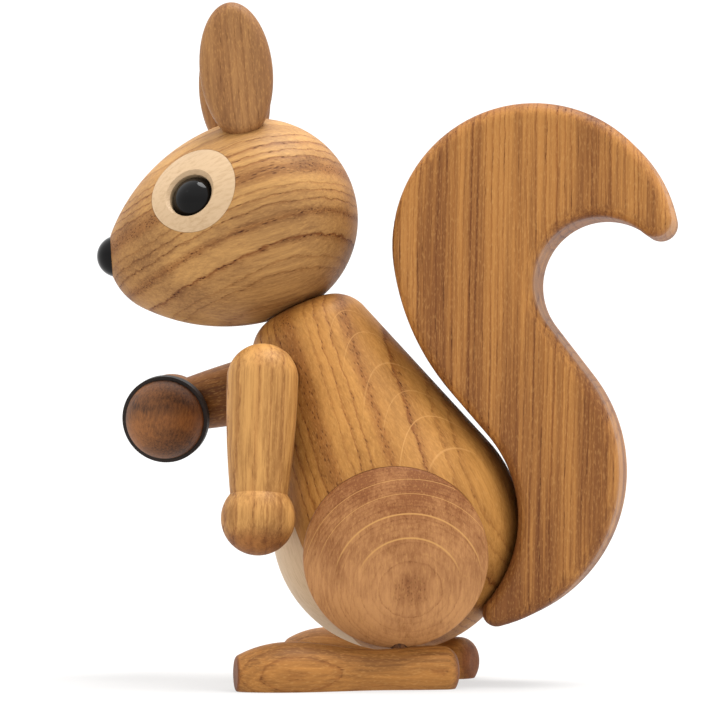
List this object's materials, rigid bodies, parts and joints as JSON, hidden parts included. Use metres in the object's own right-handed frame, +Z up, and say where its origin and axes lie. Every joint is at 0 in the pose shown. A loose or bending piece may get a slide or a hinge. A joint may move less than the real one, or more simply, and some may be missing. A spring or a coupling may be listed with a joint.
{
  "type": "wooden squirrel figurine",
  "caption": "Standing turned-oak squirrel with a swivelling egg-shaped head, swinging arms, an acorn in one hand, maple inlays and a sawn curled tail.",
  "frame": {"origin": "on the ground under the middle of the whole figure's box, between the feet", "axes": "+Z up; the squirrel faces -X with the tail towards +X; its left side is -Y"},
  "size_m": [0.1031, 0.0561, 0.1212],
  "materials": {
    "oak_body": "oiled satin oak",
    "oak_haunch": "oiled satin oak",
    "oak_foot": "oiled satin oak",
    "oak_tail": "oiled satin oak",
    "oak_head": "oiled satin oak",
    "oak_ear": "oiled satin oak",
    "oak_arm": "oiled satin oak",
    "maple_inlay": "oiled satin maple",
    "black_bead": "polished black",
    "dark_nut": "oiled satin, dark stain",
    "black_cap": "black stain, satin",
    "beech_dowel": "plain beech",
    "friction_ring": "matt black rubber"
  },
  "bodies": {
    "torso": {"body": "oak_body", "belly_inlay": "maple_inlay", "left_haunch": "oak_haunch", "right_haunch": "oak_haunch", "left_hip_dowel": "beech_dowel", "right_hip_dowel": "beech_dowel", "left_foot": "oak_foot", "right_foot": "oak_foot", "left_ankle_dowel": "beech_dowel", "right_ankle_dowel": "beech_dowel", "tail": "oak_tail", "upper_tail_dowel": "beech_dowel", "lower_tail_dowel": "beech_dowel"},
    "head": {"head": "oak_head", "left_ear": "oak_ear", "right_ear": "oak_ear", "left_ear_dowel": "beech_dowel", "right_ear_dowel": "beech_dowel", "left_eye_disc": "maple_inlay", "right_eye_disc": "maple_inlay", "left_eye_bead": "black_bead", "right_eye_bead": "black_bead", "nose_bead": "black_bead", "neck_dowel": "beech_dowel", "neck_friction_ring": "friction_ring"},
    "left_arm": {"left_arm": "oak_arm", "left_shoulder_dowel": "beech_dowel", "left_shoulder_ring": "friction_ring"},
    "right_arm": {"right_arm": "oak_arm", "right_shoulder_dowel": "beech_dowel", "right_shoulder_ring": "friction_ring", "acorn_cap": "black_cap", "acorn_nut": "dark_nut", "acorn_pin": "beech_dowel"}
  },
  "joints": [
    {"name": "head_swivel", "type": "hinge", "parent": "torso", "child": "head", "pos_m": [-0.01616, 0, 0.06693], "axis": [-0.4195, 0, 0.9078], "continuous": true},
    {"name": "left_shoulder", "type": "hinge", "parent": "torso", "child": "left_arm", "pos_m": [-0.01901, -0.01784, 0.0545], "axis": [0, 0.9863, -0.165], "range_deg": [0, 105]},
    {"name": "right_shoulder", "type": "hinge", "parent": "torso", "child": "right_arm", "pos_m": [-0.01901, 0.01784, 0.0545], "axis": [0, 0.9863, 0.165], "range_deg": [-55, 28]}
  ]
}
